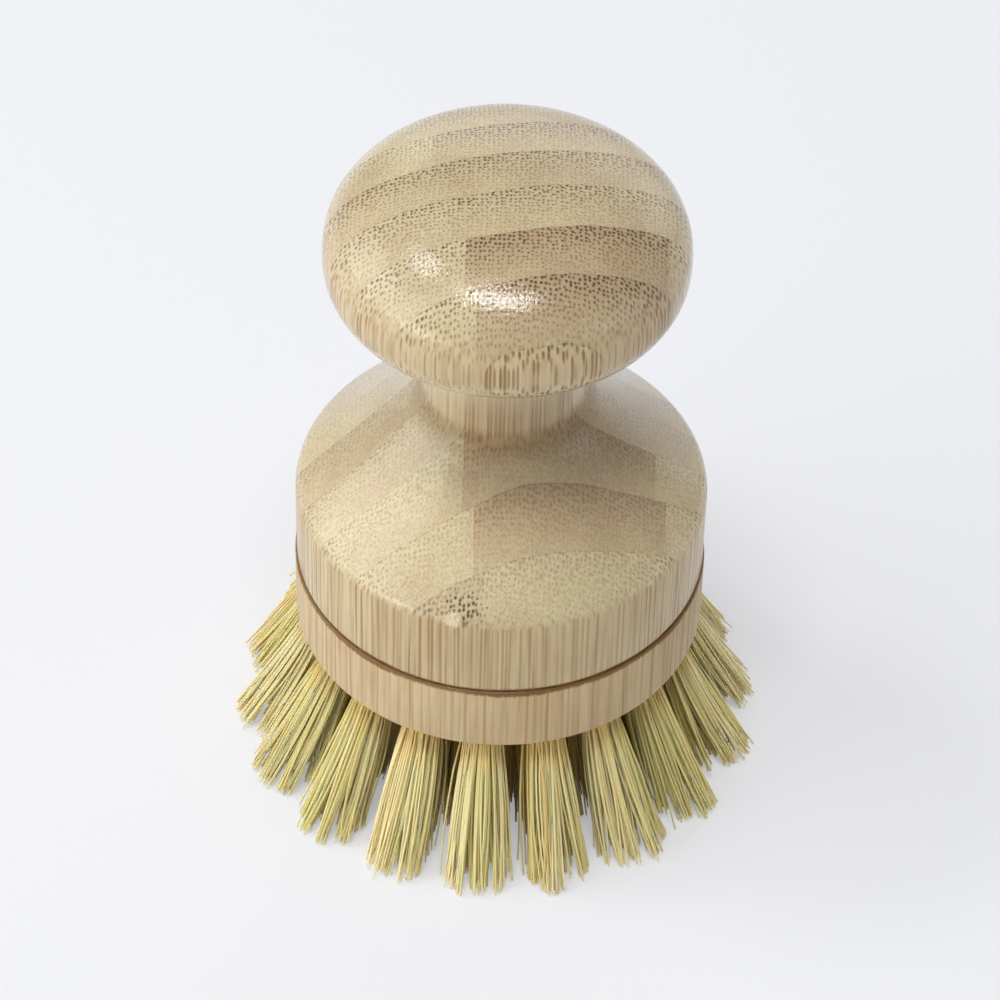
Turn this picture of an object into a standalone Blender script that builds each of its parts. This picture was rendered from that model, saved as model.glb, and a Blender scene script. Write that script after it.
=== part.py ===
"""Pot brush: a turned bamboo handle glued over a drilled bamboo plate, with drawn tufts of plant fibre.

The brush stands on its tufts. The origin is on the turning axis, in the plane of the tuft tips, with +Z up
through the knob. Lengths are in metres.
"""

import math
import random

import bmesh
import bpy
from mathutils import Vector

MM = 0.001

# Handle, from the glued seam upwards
BODY_RADIUS = 26.0 * MM
SKIRT_HEIGHT = 11.9 * MM
SHOULDER_HEIGHT = 16.2 * MM
NECK_LENGTH = 12.2 * MM
NECK_RADIUS = 10.0 * MM
KNOB_RADIUS = 22.3 * MM
KNOB_UNDERSIDE_DEPTH = 9.7 * MM
KNOB_CROWN_HEIGHT = 12.1 * MM
RIM_ROUNDING = 1.2 * MM
KNOB_FILLET = 2.0 * MM
WAIST_ROUNDING = 1.5 * MM
SEAM_BEVEL = 0.4 * MM

# Shape numbers of the two turned curves: 2 is an ellipse for the knob, 1 is a straight cone for the cove
KNOB_FULLNESS = 2.48
COVE_HOLLOWNESS = 1.17

# Plate
PLATE_THICKNESS = 10.0 * MM
PLATE_STEP = 0.2 * MM
PLATE_EDGE_ROUNDING = 0.7 * MM
RECESS_DEPTH = 2.2 * MM
RECESS_WALL = 2.8 * MM
SPIGOT_HEIGHT = 1.1 * MM

# Tufts and their holes
TUFT_CIRCLES = 3
TUFTS_PER_STEP = 6
FIRST_HOLE_ANGLE = math.radians(-9)
STRAND_BEARING = math.radians(60)
HOLE_RADIUS = 2.7 * MM
HOLE_DEPTH = 6.0 * MM
HOLE_EDGE_MARGIN = 1.7 * MM
TUFT_LENGTH = 20.4 * MM
TUFT_FLARE = 8.3 * MM
FOLD_THICKNESS = 1.3 * MM
FOLD_ROUNDING = 0.7 * MM
MOUTH_SETBACK = 0.2 * MM
STRAND_MIDDLE_RADIUS = 0.52 * MM
STRAND_TIP_RADIUS = 0.48 * MM
TIP_WANDER = 0.4 * MM
LENGTH_WANDER = 1.9 * MM
FLAT_CUT = 0.5 * MM

# Drawn wire
WIRE_RADIUS = 0.3 * MM

# Clearance between pieces that touch, and the overrun of a cut past its face
FIT_GAP = 0.3 * MM
CUT_OVERRUN = 1.0 * MM
WELD_DISTANCE = 0.001 * MM

# Fineness
TURNED_SEGMENTS = 56
HOLE_SEGMENTS = 10
KNOB_STEPS = 8
COVE_STEPS = 7
FILLET_STEPS = 3
SHARP_ANGLE = math.radians(40)

# Shares of the free length where a strand has a ring, and of its sideways travel there
OUTER_LEVEL_SHARES = ((0.5, 0.42), (1.0, 1.0))
INNER_LEVEL_SHARES = ((1.0, 1.0),)
# Place of a strand's tip in its tuft, as a share of the tuft's half width there
INNER_ROW_SHARE = 0.42
OUTER_ROW_SHARE = 0.82
# Share of a circle's width that lies outside the centres of its tips, and of a limb's width in one cell
HALF_CIRCLE_SHARE = 0.5
CELL_SHARE = 1 / 3

# Start of the chance that makes the tips uneven
TIP_SEED = 7

# Colours, roughness and metallic value of the four materials
HANDLE_COLOUR = (0.50, 0.37, 0.21)
HANDLE_ROUGHNESS = 0.38
PLATE_COLOUR = (0.40, 0.26, 0.13)
PLATE_ROUGHNESS = 0.48
FIBRE_COLOUR = (0.55, 0.45, 0.22)
FIBRE_ROUGHNESS = 0.7
WIRE_COLOUR = (0.56, 0.55, 0.52)
WIRE_ROUGHNESS = 0.3

# Heights
PLATE_BOTTOM = TUFT_LENGTH
SEAM = PLATE_BOTTOM + PLATE_THICKNESS
PLATE_TOP = SEAM - FIT_GAP / 2
HANDLE_BOTTOM = SEAM + FIT_GAP / 2
RECESS_FLOOR = PLATE_TOP - RECESS_DEPTH
HOLE_CEILING = PLATE_BOTTOM + HOLE_DEPTH
RIM = SEAM + SKIRT_HEIGHT
NECK = RIM + SHOULDER_HEIGHT
KNOB_BOTTOM = NECK + NECK_LENGTH
KNOB_WIDEST = KNOB_BOTTOM + KNOB_UNDERSIDE_DEPTH

# Fits, each worked out from the piece that it seats in
PLATE_RADIUS = BODY_RADIUS + PLATE_STEP
RECESS_RADIUS = BODY_RADIUS - RECESS_WALL
SPIGOT_RADIUS = RECESS_RADIUS - FIT_GAP
HOLE_PITCH = (BODY_RADIUS - HOLE_EDGE_MARGIN - HOLE_RADIUS) / TUFT_CIRCLES
HOLE_CLEAR_RADIUS = HOLE_RADIUS * math.cos(math.pi / HOLE_SEGMENTS)
ROOT_RADIUS = HOLE_CLEAR_RADIUS - FIT_GAP
SLOT_HALF = WIRE_RADIUS + FIT_GAP
LEG_OFFSET = HOLE_CLEAR_RADIUS - FIT_GAP - WIRE_RADIUS
FOLD_HALF = LEG_OFFSET - WIRE_RADIUS - FIT_GAP
FEED_OFFSET = 2 * WIRE_RADIUS
FEED_HOLE_RADIUS = (FEED_OFFSET + WIRE_RADIUS + FIT_GAP) / math.cos(math.pi / HOLE_SEGMENTS)
WIRE_OVER_FOLD = HOLE_CEILING - FIT_GAP - WIRE_RADIUS
FOLD_TOP = WIRE_OVER_FOLD - WIRE_RADIUS - FIT_GAP
FOLD_BOTTOM = FOLD_TOP - FOLD_THICKNESS
WIRE_UNDER_FOLD = FOLD_BOTTOM - FIT_GAP - WIRE_RADIUS
WIRE_RUN = RECESS_FLOOR + FIT_GAP + WIRE_RADIUS
ROOT_MOUTH = PLATE_BOTTOM + MOUTH_SETBACK
TUFT_SPREAD_RADIUS = BODY_RADIUS + TUFT_FLARE
TIP_PITCH = TUFT_SPREAD_RADIUS / (TUFT_CIRCLES + HALF_CIRCLE_SHARE)


def clear_scene():
    for obj in list(bpy.data.objects):
        bpy.data.objects.remove(obj, do_unlink=True)


def material(name, colour, roughness, metallic=0.0):
    made = bpy.data.materials.new(name)
    made.use_nodes = True
    shader = made.node_tree.nodes["Principled BSDF"]
    shader.inputs["Base Color"].default_value = (*colour, 1.0)
    shader.inputs["Roughness"].default_value = roughness
    shader.inputs["Metallic"].default_value = metallic
    made.diffuse_color = (*colour, 1.0)
    return made


def handle_bamboo():
    return material("varnished_bamboo", HANDLE_COLOUR, HANDLE_ROUGHNESS)


def plate_bamboo():
    return material("darker_bamboo", PLATE_COLOUR, PLATE_ROUGHNESS)


def plant_fibre():
    return material("plant_fibre", FIBRE_COLOUR, FIBRE_ROUGHNESS)


def steel_wire():
    return material("steel_wire", WIRE_COLOUR, WIRE_ROUGHNESS, metallic=1.0)


def add_object(name, mesh, finish):
    mesh.materials.append(finish)
    made = bpy.data.objects.new(name, mesh)
    bpy.context.scene.collection.objects.link(made)
    return made


def mesh_from(bm, name):
    """A closed mesh with its faces pointing out and round stretches shaded smooth."""
    bmesh.ops.recalc_face_normals(bm, faces=bm.faces)
    mesh = bpy.data.meshes.new(name)
    bm.to_mesh(mesh)
    bm.free()
    mesh.shade_smooth()
    mesh.set_sharp_from_angle(angle=SHARP_ANGLE)
    return mesh


def turn(bm, outline, segments, centre=(0, 0)):
    """Turns an outline of (radius, height) points, from the axis to the axis, about a vertical line."""
    middle = Vector((*centre, 0))
    points = [bm.verts.new(middle + Vector((radius, 0, height))) for radius, height in outline]
    edges = [bm.edges.new(pair) for pair in zip(points, points[1:])]
    bmesh.ops.spin(
        bm,
        geom=points + edges,
        cent=middle,
        axis=(0, 0, 1),
        angle=math.tau,
        steps=segments,
        use_merge=True,
    )
    bmesh.ops.remove_doubles(bm, verts=bm.verts, dist=WELD_DISTANCE)


def rounding(start, corner, end, steps):
    """Points of a soft corner between two outline points, its ends included."""
    start, corner, end = Vector(start), Vector(corner), Vector(end)
    found = []
    for step in range(steps + 1):
        share = step / steps
        found.append(tuple(start.lerp(corner, share).lerp(corner.lerp(end, share), share)))
    return found


def knob_curve(depth, angle):
    """(radius, rise) of the knob at an angle from its widest circle, on the side that is depth high."""
    return KNOB_RADIUS * math.cos(angle), depth * math.sin(angle) ** (2 / KNOB_FULLNESS)


def knob_underside(radius):
    return KNOB_WIDEST - knob_curve(KNOB_UNDERSIDE_DEPTH, math.acos(radius / KNOB_RADIUS))[1]


def cove_radius(height):
    share = (height - RIM) / SHOULDER_HEIGHT
    return NECK_RADIUS + (BODY_RADIUS - NECK_RADIUS) * max(0, 1 - share) ** COVE_HOLLOWNESS


def cove_height(radius):
    share = (radius - NECK_RADIUS) / (BODY_RADIUS - NECK_RADIUS)
    return RIM + SHOULDER_HEIGHT * (1 - share ** (1 / COVE_HOLLOWNESS))


def knob_outline():
    """The knob from its top to the fillet that leads into the neck."""
    points = []
    for step in range(KNOB_STEPS, 0, -1):
        radius, rise = knob_curve(KNOB_CROWN_HEIGHT, math.pi / 2 * step / KNOB_STEPS)
        points.append((radius if step < KNOB_STEPS else 0, KNOB_WIDEST + rise))
    fillet_radius = NECK_RADIUS + KNOB_FILLET
    last_angle = math.acos(fillet_radius / KNOB_RADIUS)
    for step in range(KNOB_STEPS - 1):
        radius, drop = knob_curve(KNOB_UNDERSIDE_DEPTH, last_angle * step / (KNOB_STEPS - 1))
        points.append((radius, KNOB_WIDEST - drop))
    corner = knob_underside(NECK_RADIUS)
    return points + rounding(
        (fillet_radius, knob_underside(fillet_radius)),
        (NECK_RADIUS, corner),
        (NECK_RADIUS, corner - KNOB_FILLET),
        FILLET_STEPS,
    )


def shoulder_outline():
    """The soft corner at the foot of the neck, the cove down to the rim, and the rim's soft corner."""
    rim_radius = BODY_RADIUS - RIM_ROUNDING
    foot = cove_height(rim_radius)
    start = NECK - WAIST_ROUNDING
    points = rounding(
        (NECK_RADIUS, NECK + WAIST_ROUNDING), (NECK_RADIUS, NECK), (cove_radius(start), start), FILLET_STEPS
    )
    for step in range(1, COVE_STEPS):
        height = start + (foot - start) * step / COVE_STEPS
        points.append((cove_radius(height), height))
    return points + rounding(
        (rim_radius, foot), (BODY_RADIUS, RIM), (BODY_RADIUS, RIM - RIM_ROUNDING), FILLET_STEPS
    )


def handle_outline():
    return (
        knob_outline()
        + shoulder_outline()
        + [
            (BODY_RADIUS, HANDLE_BOTTOM + SEAM_BEVEL),
            (BODY_RADIUS - SEAM_BEVEL, HANDLE_BOTTOM),
            (SPIGOT_RADIUS, HANDLE_BOTTOM),
            (SPIGOT_RADIUS, HANDLE_BOTTOM - SPIGOT_HEIGHT),
            (0, HANDLE_BOTTOM - SPIGOT_HEIGHT),
        ]
    )


def build_handle():
    """Knob, neck, shoulder and skirt, turned from one laminated block, with a spigot underneath."""
    bm = bmesh.new()
    turn(bm, handle_outline(), TURNED_SEGMENTS)
    return add_object("handle", mesh_from(bm, "handle"), handle_bamboo())


def plate_outline():
    edge = rounding(
        (PLATE_RADIUS, PLATE_BOTTOM + PLATE_EDGE_ROUNDING),
        (PLATE_RADIUS, PLATE_BOTTOM),
        (PLATE_RADIUS - PLATE_EDGE_ROUNDING, PLATE_BOTTOM),
        FILLET_STEPS,
    )
    return [
        (0, RECESS_FLOOR),
        (RECESS_RADIUS, RECESS_FLOOR),
        (RECESS_RADIUS, PLATE_TOP),
        (PLATE_RADIUS - SEAM_BEVEL, PLATE_TOP),
        (PLATE_RADIUS, PLATE_TOP - SEAM_BEVEL),
        *edge,
        (0, PLATE_BOTTOM),
    ]


def drill_outline():
    """A tuft hole with the narrow feed hole of the wire above it."""
    return [
        (0, RECESS_FLOOR + CUT_OVERRUN),
        (FEED_HOLE_RADIUS, RECESS_FLOOR + CUT_OVERRUN),
        (FEED_HOLE_RADIUS, HOLE_CEILING),
        (HOLE_RADIUS, HOLE_CEILING),
        (HOLE_RADIUS, PLATE_BOTTOM - CUT_OVERRUN),
        (0, PLATE_BOTTOM - CUT_OVERRUN),
    ]


def hole_places():
    """(circle, angle) of each hole, in the order in which the wire is drawn from hole to hole."""
    places = [(0, 0.0)]
    start = FIRST_HOLE_ANGLE
    for circle in range(1, TUFT_CIRCLES + 1):
        count = TUFTS_PER_STEP * circle
        step = math.tau / count
        if circle > 1:
            start -= step / 2
        places += [(circle, start + step * index) for index in range(count)]
    return places


def hole_centre(circle, angle):
    return Vector((math.cos(angle), math.sin(angle), 0)) * HOLE_PITCH * circle


def build_plate():
    """The drilled plate, with the wire's recess in its back."""
    drills = bmesh.new()
    for circle, angle in hole_places():
        drill = bmesh.new()
        turn(drill, drill_outline(), HOLE_SEGMENTS, hole_centre(circle, angle).xy)
        mesh = bpy.data.meshes.new("drill")
        drill.to_mesh(mesh)
        drill.free()
        drills.from_mesh(mesh)
        bpy.data.meshes.remove(mesh)
    cutter = add_object("plate_drills", mesh_from(drills, "plate_drills"), plate_bamboo())
    cutter.hide_render = True
    cutter.display_type = "WIRE"

    bm = bmesh.new()
    turn(bm, plate_outline(), TURNED_SEGMENTS)
    plate = add_object("tuft_plate", mesh_from(bm, "tuft_plate"), plate_bamboo())
    drilling = plate.modifiers.new("tuft_holes", "BOOLEAN")
    drilling.operation = "DIFFERENCE"
    drilling.solver = "EXACT"
    drilling.object = cutter
    return plate


def stitch_points(circle, angle):
    """The wire's way through one hole: in by the feed hole, round the fold of the tuft, and out again."""
    centre = hole_centre(circle, angle)
    along = Vector((-math.sin(angle), math.cos(angle), 0))
    going_down = [
        (-FEED_OFFSET, WIRE_RUN),
        (-FEED_OFFSET, WIRE_OVER_FOLD),
        (-LEG_OFFSET, WIRE_OVER_FOLD),
        (-LEG_OFFSET, WIRE_UNDER_FOLD),
    ]
    coming_up = [(-offset, height) for offset, height in reversed(going_down)]
    return [
        centre + along * offset + Vector((0, 0, height)) for offset, height in going_down + coming_up
    ]


def build_wire():
    """One unbroken wire that holds every tuft by its fold."""
    route = []
    for circle, angle in hole_places():
        route += stitch_points(circle, angle)
    curve = bpy.data.curves.new("tuft_wire", "CURVE")
    curve.dimensions = "3D"
    curve.bevel_depth = WIRE_RADIUS
    curve.bevel_resolution = 0
    curve.use_fill_caps = True
    spline = curve.splines.new("POLY")
    spline.points.add(len(route) - 1)
    for point, place in zip(spline.points, route):
        point.co = (*place, 1.0)
    return add_object("tuft_wire", curve, steel_wire())


def add_limb(bm, side):
    """One of the two limbs of a folded tuft, and the six cells of its mouth that the strands grow from."""
    end_angle = math.acos(SLOT_HALF / ROOT_RADIUS)

    def on_arc(share, height):
        angle = end_angle * share
        return bm.verts.new((side * ROOT_RADIUS * math.cos(angle), ROOT_RADIUS * math.sin(angle), height))

    def on_chord(across, height):
        return bm.verts.new((side * SLOT_HALF, across, height))

    chord_third = ROOT_RADIUS * math.sin(end_angle) * CELL_SHARE
    left, right = on_arc(1, ROOT_MOUTH), on_arc(-1, ROOT_MOUTH)
    arc = [on_arc(CELL_SHARE, ROOT_MOUTH), on_arc(-CELL_SHARE, ROOT_MOUTH)]
    chord = [on_chord(chord_third, ROOT_MOUTH), on_chord(-chord_third, ROOT_MOUTH)]
    middle = [bm.verts.new((a.co + b.co) / 2) for a, b in zip(arc, chord)]
    top_left, top_right = on_arc(1, FOLD_TOP - FOLD_ROUNDING), on_arc(-1, FOLD_TOP - FOLD_ROUNDING)
    top_arc = [on_arc(share, FOLD_TOP - FOLD_ROUNDING) for share in (CELL_SHARE, -CELL_SHARE)]
    top_chord = [on_chord(FOLD_HALF, FOLD_TOP), on_chord(-FOLD_HALF, FOLD_TOP)]
    low_chord = [on_chord(FOLD_HALF, FOLD_BOTTOM), on_chord(-FOLD_HALF, FOLD_BOTTOM)]

    for corners in (
        (left, arc[0], top_arc[0], top_left),
        (arc[0], arc[1], top_arc[1], top_arc[0]),
        (arc[1], right, top_right, top_arc[1]),
        (left, chord[0], low_chord[0], top_chord[0], top_left),
        (chord[0], chord[1], low_chord[1], low_chord[0]),
        (chord[1], right, top_right, top_chord[1], low_chord[1]),
        (top_left, top_chord[0], top_arc[0]),
        (top_chord[0], top_chord[1], top_arc[1], top_arc[0]),
        (top_chord[1], top_right, top_arc[1]),
    ):
        bm.faces.new(corners)
    cells = {
        (INNER_ROW_SHARE, 1): (left, chord[0], middle[0]),
        (INNER_ROW_SHARE, 0): (chord[0], chord[1], middle[1], middle[0]),
        (INNER_ROW_SHARE, -1): (chord[1], right, middle[1]),
        (OUTER_ROW_SHARE, 1): (left, middle[0], arc[0]),
        (OUTER_ROW_SHARE, 0): (middle[0], middle[1], arc[1], arc[0]),
        (OUTER_ROW_SHARE, -1): (middle[1], right, arc[1]),
    }
    faces = {place: bm.faces.new(corners) for place, corners in cells.items()}
    return faces, top_chord, low_chord


def bridge_fold(bm, first_limb, second_limb):
    """The bend of the fibres over the wire, which makes the two limbs one bundle."""
    _, top, low = first_limb
    _, far_top, far_low = second_limb
    for corners in (
        (low[0], low[1], far_low[1], far_low[0]),
        (low[0], far_low[0], far_top[0], top[0]),
        (low[1], far_low[1], far_top[1], top[1]),
        (top[0], top[1], far_top[1], far_top[0]),
    ):
        bm.faces.new(corners)


def grow_strand(bm, cell, tip, levels):
    """Extrudes a cell of the root into a strand that thins and leans out to its tip."""
    base = cell.calc_center_median()
    centre = base
    radii = (STRAND_MIDDLE_RADIUS, STRAND_TIP_RADIUS)[-len(levels) :]
    for (length_share, travel_share), radius in zip(levels, radii):
        ahead = base.lerp(tip, travel_share)
        ahead.z = base.z + (tip.z - base.z) * length_share
        cell = bmesh.ops.extrude_discrete_faces(bm, faces=[cell])["faces"][0]
        for corner in cell.verts:
            corner.co = ahead + (corner.co - centre).normalized() * radius
        centre = ahead


def build_tuft(name, circle, angle, finish, chance):
    """One folded bundle in its hole, with twelve strands that fan out to the tips."""
    bm = bmesh.new()
    limbs = [add_limb(bm, 1), add_limb(bm, -1)]
    bridge_fold(bm, *limbs)
    levels = OUTER_LEVEL_SHARES if circle > 1 else INNER_LEVEL_SHARES
    lean = (TIP_PITCH - HOLE_PITCH) * circle
    for side, (cells, _, _) in zip((1, -1), limbs):
        for (row_share, column), cell in cells.items():
            bearing = column * STRAND_BEARING
            reach = row_share * TIP_PITCH / 2
            tip = Vector(
                (
                    lean + side * reach * math.cos(bearing) + chance.uniform(-TIP_WANDER, TIP_WANDER),
                    reach * math.sin(bearing) + chance.uniform(-TIP_WANDER, TIP_WANDER),
                    max(0, chance.uniform(0, LENGTH_WANDER) - FLAT_CUT),
                )
            )
            grow_strand(bm, cell, tip, levels)
    tuft = add_object(name, mesh_from(bm, name), finish)
    tuft.location = hole_centre(circle, angle)
    tuft.rotation_euler.z = angle
    return tuft


def build_tufts():
    finish = plant_fibre()
    chance = random.Random(TIP_SEED)
    circle_names = ("centre", "inner", "middle", "outer")
    counts = {}
    for circle, angle in hole_places():
        counts[circle] = counts.get(circle, 0) + 1
        name = f"tuft_{circle_names[min(circle, len(circle_names) - 1)]}_{counts[circle]:02d}"
        build_tuft(name, circle, angle, finish, chance)


def main():
    clear_scene()
    build_handle()
    build_plate()
    build_wire()
    build_tufts()


main()
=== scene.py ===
"""The looks of a pot brush: turned bamboo handle, drilled bamboo plate and tufts of plant fibre.

The file is laid out as an add-on with one operator for each kind of piece. It is run as a script: it takes
the brush's solids as a fixed frame and builds each visible piece in its place. Lengths are in metres unless
a name ends in _mm or _MM, and +Z points up through the knob.
"""

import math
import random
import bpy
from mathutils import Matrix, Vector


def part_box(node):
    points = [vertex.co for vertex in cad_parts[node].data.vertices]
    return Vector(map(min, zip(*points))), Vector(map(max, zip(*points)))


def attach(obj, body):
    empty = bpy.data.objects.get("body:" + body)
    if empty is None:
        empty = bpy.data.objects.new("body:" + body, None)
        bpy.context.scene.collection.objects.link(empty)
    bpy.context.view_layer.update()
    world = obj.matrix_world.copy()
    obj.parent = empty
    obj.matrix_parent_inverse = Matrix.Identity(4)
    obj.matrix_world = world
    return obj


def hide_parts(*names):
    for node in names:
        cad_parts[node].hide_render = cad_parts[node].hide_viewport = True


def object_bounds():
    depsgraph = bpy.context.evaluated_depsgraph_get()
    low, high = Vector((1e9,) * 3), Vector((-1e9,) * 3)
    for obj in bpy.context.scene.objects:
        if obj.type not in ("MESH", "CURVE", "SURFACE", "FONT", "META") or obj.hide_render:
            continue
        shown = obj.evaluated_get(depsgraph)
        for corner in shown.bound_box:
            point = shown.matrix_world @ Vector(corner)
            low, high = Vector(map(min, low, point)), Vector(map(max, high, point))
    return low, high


bl_info = {
    "name": "Pot brush",
    "version": (1, 0, 0),
    "blender": (4, 5, 0),
    "location": "View3D > Sidebar > Pot brush",
    "description": "Builds a bamboo pot brush with drawn tufts of plant fibre, and a plain stage for it",
    "category": "Add Mesh",
}

from functools import partial

import bmesh
import bpy
import numpy as np
from mathutils import Matrix, Vector

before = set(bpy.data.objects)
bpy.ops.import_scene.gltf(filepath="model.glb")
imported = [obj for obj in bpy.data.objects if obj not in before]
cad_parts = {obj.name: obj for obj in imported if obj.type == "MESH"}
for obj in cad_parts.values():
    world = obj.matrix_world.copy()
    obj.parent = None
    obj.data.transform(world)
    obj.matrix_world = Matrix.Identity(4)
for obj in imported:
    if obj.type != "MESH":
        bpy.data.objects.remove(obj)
frame_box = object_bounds()

MM = 0.001
BODY = "root"
FIT_GAP = 0.3 * MM

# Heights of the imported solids, which every piece here keeps to
TIPS_Z = frame_box[0][2]
PLATE_LOW, PLATE_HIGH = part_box("tuft_plate")
SEAM_Z = PLATE_HIGH.z + FIT_GAP / 2


def linear(hex_colour):
    """An sRGB hex colour as linear red, green, blue and alpha."""
    channels = [int(hex_colour[i : i + 2], 16) / 255 for i in (1, 3, 5)]
    return (*[c / 12.92 if c <= 0.04045 else ((c + 0.055) / 1.055) ** 2.4 for c in channels], 1.0)


def length(name, description, millimetres):
    return bpy.props.FloatProperty(
        name=name, description=description, default=millimetres * MM, min=0.0, unit="LENGTH", precision=5
    )


def colour(name, description, hex_colour):
    return bpy.props.FloatVectorProperty(
        name=name,
        description=description,
        default=linear(hex_colour),
        min=0.0,
        max=1.0,
        size=4,
        subtype="COLOR",
    )


class BrushSizes(bpy.types.PropertyGroup):
    body_radius: length("Body radius", "Outer radius of the skirt above the seam", 26.0)
    skirt_height: length("Skirt height", "Straight side from the seam to the rim", 11.9)
    shoulder_height: length("Shoulder height", "Cove from the rim up to the neck", 16.2)
    neck_length: length("Neck length", "From the top of the cove to the foot of the knob", 12.2)
    neck_radius: length("Neck radius", "Radius of the neck", 10.0)
    knob_radius: length("Knob radius", "Radius of the knob at its widest", 22.3)
    knob_underside: length("Knob underside", "Depth of the knob below its widest circle", 9.7)
    knob_crown: length("Knob crown", "Height of the knob above its widest circle", 12.1)
    rim_rounding: length("Rim rounding", "Soft corner between cove and skirt", 1.2)
    knob_fillet: length("Knob fillet", "Soft corner between knob and neck", 2.0)
    waist_rounding: length("Waist rounding", "Soft corner between neck and cove", 1.5)
    seam_bevel: length("Seam bevel", "Broken edge of the handle at the seam", 0.35)
    plate_bevel: length("Plate bevel", "Broken edge of the plate at the seam", 0.45)
    plate_step: length("Plate step", "How far the plate stands out past the handle", 0.2)
    plate_edge: length("Plate edge", "Soft corner of the plate's lower edge", 0.7)
    recess_depth: length("Recess depth", "Room for the wire in the back of the plate", 2.2)
    recess_wall: length("Recess wall", "Rim of the plate round the recess", 2.8)
    spigot_height: length("Spigot height", "Step of the handle that sits in the recess", 1.1)
    hole_radius: length("Hole radius", "Radius of a tuft's hole", 2.7)
    hole_depth: length("Hole depth", "Depth of a tuft's hole", 6.0)
    hole_margin: length("Hole margin", "Wood between the outer holes and the skirt's radius", 1.7)
    tuft_flare: length("Tuft flare", "How far the tips reach out past the body", 8.3)
    fibre_radius: length("Fibre radius", "Mean radius of one fibre", 0.15)
    knob_fullness: bpy.props.FloatProperty(
        name="Knob fullness", description="2 gives an ellipse, more a squarer knob", default=2.48, min=1.0
    )
    cove_hollowness: bpy.props.FloatProperty(
        name="Cove hollowness", description="1 gives a cone, more a deeper cove", default=1.17, min=1.0
    )
    tuft_circles: bpy.props.IntProperty(
        name="Tuft circles", description="Circles of tufts round the centre one", default=3, min=1
    )
    fibres_per_tuft: bpy.props.IntProperty(
        name="Folded fibres", description="Fibres folded into each tuft", default=120, min=8
    )


class BrushColours(bpy.types.PropertyGroup):
    handle_yellow: colour("Handle, yellow", "Youngest bamboo strips", "#D8C899")
    handle_pale: colour("Handle, pale", "Pale strips", "#DBCCA4")
    handle_tan: colour("Handle, tan", "Older strips and the rind side of each strip", "#C8B290")
    handle_red: colour("Handle, reddish", "Strips that were steamed darker", "#BB9D7A")
    handle_side: colour("Handle, sides", "Wood cut along its fibres", "#CDB280")
    vessel: colour("Vessels, cut across", "Fibre bundles in end grain", "#544025")
    vessel_side: colour("Vessels, cut along", "The same bundles along the sides", "#956B30")
    torn: colour("Torn fibres", "The rough spot in the rim", "#EFE3C4")
    plate_pale: colour("Plate, pale", "Pale strips of the plate", "#D6C199")
    plate_tan: colour("Plate, tan", "Darker strips of the plate", "#CAB288")
    plate_pink: colour("Plate, pink", "Pinkish strips of the plate", "#C9AC81")
    plate_streak: colour("Plate, streaks", "Orange-brown streaks in the plate", "#976937")
    glue: colour("Glue", "Dried glue in the seam", "#785526")
    fibre_pale: colour("Fibre, pale", "Most of the fibres", "#F0E3AE")
    fibre_green: colour("Fibre, green", "Fibres from young leaves", "#E3DA96")
    fibre_straw: colour("Fibre, straw", "Fibres that dried to straw colour", "#E0C784")
    # Painted shade: the amber that darkens fibres near their holes and in the inner tufts
    fibre_root_shade: colour("Fibre, root", "The same fibres near their holes", "#DFB556")
    wire: colour("Wire", "Galvanised wire", "#9C9A94")
    floor: colour("Floor", "The pale floor", "#F3F4F8")


# Materials

MATH = "ShaderNodeMath"
VECTOR_MATH = "ShaderNodeVectorMath"
MAP_RANGE = "ShaderNodeMapRange"
NOISE = "ShaderNodeTexNoise"
MIX = "ShaderNodeMix"
SMOOTH = {"interpolation_type": "SMOOTHSTEP"}


def new_material(name):
    """A bare material, and the function that adds a node to it."""
    made = bpy.data.materials.new(name)
    made.use_nodes = True
    made.node_tree.nodes.clear()
    return made, partial(add_node, made)


def add_node(material, kind, sockets=(), operation=None, **settings):
    """Adds a node. A tuple fills its sockets in order, and a dictionary names them.

    A socket takes another node, by its first live output, or an output, or a value.
    """
    node = material.node_tree.nodes.new(kind)
    if operation:
        node.operation = operation
    for name, value in settings.items():
        setattr(node, name, value)
    pairs = sockets.items() if isinstance(sockets, dict) else enumerate(sockets)
    for key, value in pairs:
        if isinstance(value, bpy.types.Node):
            value = next(output for output in value.outputs if output.enabled)
        if isinstance(value, bpy.types.NodeSocket):
            material.node_tree.links.new(value, node.inputs[key])
        else:
            node.inputs[key].default_value = value
    return node


def grey(share):
    return (share, share, share, 1.0)


def set_ramp(node, stops, interpolation="LINEAR"):
    """Fills a colour ramp with (place, colour) stops."""
    ramp = node.color_ramp
    ramp.interpolation = interpolation
    while len(ramp.elements) < len(stops):
        ramp.elements.new(1.0)
    for element, (place, shade) in zip(ramp.elements, stops):
        element.position = place
        element.color = shade


# Bamboo. A noise's scale is per millimetre
GRAIN_SQUASH = (1.0, 1.0, 0.03)
DRIFT_SCALE = 0.09
DRIFT_MM = (1.1, 1.1, 0.0)
CLOUD_SCALE = 0.11
SPECK_SCALE = 3.4
STREAK_SCALE = 1.6
PEEL_SCALE = 2.0
TEAR_SCALE = 2.6
WEAR_SCALE = 0.10
LAYERS_EACH_WAY = 8
LAYER_TINT_STEP = 0.7548
STRIP_TINT_STEP = 0.57
RIND_GROWTH = 1.3
GLUE_MM = (0.14, 0.04)
LEAST_BUNDLE_MM, MOST_BUNDLE_MM = 0.11, 0.19
SCAR_MM = 2.7
CHIP_MM = 1.1
STAIN_MM = (0.52, 0.05)
CORNER_MM = (2.8, 0.2)
NECK_BAND_MM = (5.6, 1.0)
PORES_MM = 100
PIT_DEPTH = 0.05 * MM
WOOD_WAVE = 0.04 * MM
VARNISH_WAVE = 0.06 * MM

# Where a face's upward share turns from end grain into side
END_GRAIN, SIDE_GRAIN = 0.60, 0.20


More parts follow.
